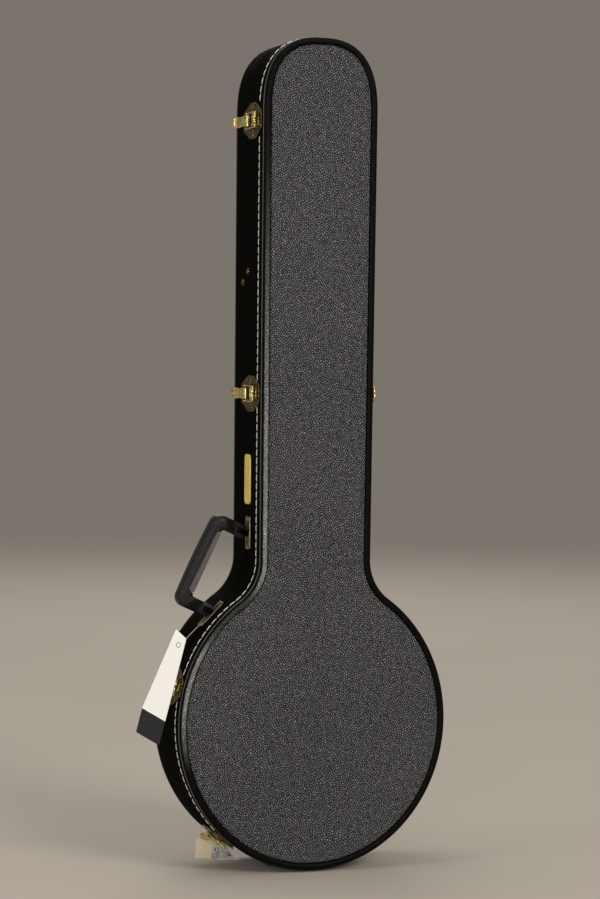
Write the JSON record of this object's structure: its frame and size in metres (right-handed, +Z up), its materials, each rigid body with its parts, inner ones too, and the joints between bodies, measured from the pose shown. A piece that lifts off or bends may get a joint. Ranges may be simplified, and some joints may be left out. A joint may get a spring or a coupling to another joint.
{
  "type": "banjo case",
  "caption": "Hard banjo case standing on its round end: hinged lid, toggle latches, carrying handle, plush lining, neck supports and an accessory pocket.",
  "frame": {"origin": "on the floor under the middle of the standing case's own box, measured without the hanging tag and its string", "axes": "+Z up along the case from its round end to its neck end; +Y from the lid to the back; -X is the side with the handle and latches"},
  "size_m": [0.4252, 0.1255, 1.0824],
  "materials": {
    "face_vinyl": "pebble-grain vinyl, satin",
    "roll_vinyl": "ribbed pebble-grain vinyl over a cord, satin",
    "side_vinyl": "smooth black vinyl, satin",
    "stitched_vinyl": "black vinyl band with a row of white thread",
    "edge_trim": "black binding, semi-matte",
    "plush_lining": "short-pile plush",
    "gold_hardware": "polished gold plate",
    "antique_brass": "aged brass, satin",
    "steel_pin": "bright steel",
    "handle_black": "moulded black with soft ribs, satin",
    "handle_core": "fluted brown strip, matte",
    "foot_rubber": "black rubber, matte",
    "tag_card": "blank white card with a black foot",
    "tag_string": "thin twisted thread",
    "key_card": "plain cream card"
  },
  "bodies": {
    "base": {"base_side_wall": "side_vinyl", "base_edge_binding": "edge_trim", "base_back_panel": "face_vinyl", "base_rim_tongue": "edge_trim", "base_wall_lining": "plush_lining", "base_floor_lining": "plush_lining", "end_latch_plate": "gold_hardware", "middle_latch_plate": "gold_hardware", "hinge_side_latch_plate": "gold_hardware", "upper_bout_latch_plate": "gold_hardware", "lower_bout_latch_plate": "gold_hardware", "upper_hinge_base_leaf": "antique_brass", "lower_hinge_base_leaf": "antique_brass", "upper_hinge_pin": "steel_pin", "lower_hinge_pin": "steel_pin", "handle_upper_bracket": "antique_brass", "handle_lower_bracket": "antique_brass", "side_plate": "gold_hardware", "side_rivet_1": "antique_brass", "side_rivet_2": "antique_brass", "tail_foot_right": "foot_rubber", "tail_foot_left": "foot_rubber", "heel_block": "plush_lining", "neck_cradle": "plush_lining", "pocket_partition_lower": "plush_lining", "pocket_partition_upper": "plush_lining", "pocket_hinge_rod": "steel_pin", "hang_tag": "tag_card", "tag_string": "tag_string", "key_card": "key_card"},
    "lid": {"lid_side_wall": "side_vinyl", "lid_stitched_band": "stitched_vinyl", "lid_welt": "edge_trim", "lid_edge_roll": "roll_vinyl", "lid_panel": "face_vinyl", "lid_wall_lining": "plush_lining", "lid_panel_lining": "plush_lining", "end_latch_catch": "gold_hardware", "middle_latch_catch": "gold_hardware", "hinge_side_latch_catch": "gold_hardware", "upper_bout_latch_catch": "gold_hardware", "lower_bout_latch_catch": "gold_hardware", "upper_hinge_lid_leaf": "antique_brass", "lower_hinge_lid_leaf": "antique_brass"},
    "pocket_lid": {"pocket_lid": "plush_lining"},
    "handle": {"handle_grip": "handle_black", "handle_core": "handle_core", "handle_upper_pin": "steel_pin", "handle_lower_pin": "steel_pin"},
    "end_lever": {"end_latch_lever": "gold_hardware"},
    "end_bail": {"end_latch_bail": "gold_hardware"},
    "middle_lever": {"middle_latch_lever": "gold_hardware"},
    "middle_bail": {"middle_latch_bail": "gold_hardware"},
    "hinge_side_lever": {"hinge_side_latch_lever": "gold_hardware"},
    "hinge_side_bail": {"hinge_side_latch_bail": "gold_hardware"},
    "upper_bout_lever": {"upper_bout_latch_lever": "gold_hardware"},
    "upper_bout_bail": {"upper_bout_latch_bail": "gold_hardware"},
    "lower_bout_lever": {"lower_bout_latch_lever": "gold_hardware"},
    "lower_bout_bail": {"lower_bout_latch_bail": "gold_hardware"}
  },
  "joints": [
    {"name": "lid_hinge", "type": "hinge", "parent": "base", "child": "lid", "pos_m": [0.18806, -0.0175, 0.2308], "axis": [0, 0, 1], "range_deg": [0, 100]},
    {"name": "pocket_lid_hinge", "type": "hinge", "parent": "base", "child": "pocket_lid", "pos_m": [0.06122, 0.016, 0.61246], "axis": [0, 0, 1], "range_deg": [0, 85]},
    {"name": "handle_hinge", "type": "hinge", "parent": "base", "child": "handle", "pos_m": [-0.08545, -0.008, 0.44696], "axis": [-0.4053, 0, -0.9142], "range_deg": [-70, 70]},
    {"name": "end_lever_hinge", "type": "hinge", "parent": "base", "child": "end_lever", "pos_m": [-0.08331, -0.0095, 0.97498], "axis": [-0.0035, 0, 1], "range_deg": [0, 120]},
    {"name": "end_bail_hinge", "type": "hinge", "parent": "end_lever", "child": "end_bail", "pos_m": [-0.08151, -0.0005, 0.97498], "axis": [-0.0035, 0, 1], "range_deg": [-120, 0]},
    {"name": "middle_lever_hinge", "type": "hinge", "parent": "base", "child": "middle_lever", "pos_m": [-0.08207, -0.0095, 0.62198], "axis": [-0.0035, 0, 1], "range_deg": [0, 120]},
    {"name": "middle_bail_hinge", "type": "hinge", "parent": "middle_lever", "child": "middle_bail", "pos_m": [-0.08027, -0.0005, 0.62198], "axis": [-0.0035, 0, 1], "range_deg": [-120, 0]},
    {"name": "hinge_side_lever_hinge", "type": "hinge", "parent": "base", "child": "hinge_side_lever", "pos_m": [0.08318, -0.0095, 0.62198], "axis": [-0.0035, 0, -1], "range_deg": [0, 120]},
    {"name": "hinge_side_bail_hinge", "type": "hinge", "parent": "hinge_side_lever", "child": "hinge_side_bail", "pos_m": [0.08138, -0.0005, 0.62198], "axis": [-0.0035, 0, -1], "range_deg": [-120, 0]},
    {"name": "upper_bout_lever_hinge", "type": "hinge", "parent": "base", "child": "upper_bout_lever", "pos_m": [-0.18204, -0.0095, 0.24428], "axis": [0.2356, 0, 0.9719], "range_deg": [0, 120]},
    {"name": "upper_bout_bail_hinge", "type": "hinge", "parent": "upper_bout_lever", "child": "upper_bout_bail", "pos_m": [-0.18029, -0.0005, 0.24385], "axis": [0.2356, 0, 0.9719], "range_deg": [-120, 0]},
    {"name": "lower_bout_lever_hinge", "type": "hinge", "parent": "base", "child": "lower_bout_lever", "pos_m": [-0.11821, -0.0095, 0.04003], "axis": [-0.759, 0, 0.6511], "range_deg": [0, 120]},
    {"name": "lower_bout_bail_hinge", "type": "hinge", "parent": "lower_bout_lever", "child": "lower_bout_bail", "pos_m": [-0.11704, -0.0005, 0.0414], "axis": [-0.759, 0, 0.6511], "range_deg": [-120, 0]}
  ],
  "couplings": [
    {"joint": "pocket_lid_hinge", "follows": "lid_hinge", "ratio": 0.85},
    {"joint": "end_bail_hinge", "follows": "end_lever_hinge", "ratio": -1},
    {"joint": "middle_bail_hinge", "follows": "middle_lever_hinge", "ratio": -1},
    {"joint": "hinge_side_bail_hinge", "follows": "hinge_side_lever_hinge", "ratio": -1},
    {"joint": "upper_bout_bail_hinge", "follows": "upper_bout_lever_hinge", "ratio": -1},
    {"joint": "lower_bout_bail_hinge", "follows": "lower_bout_lever_hinge", "ratio": -1}
  ]
}
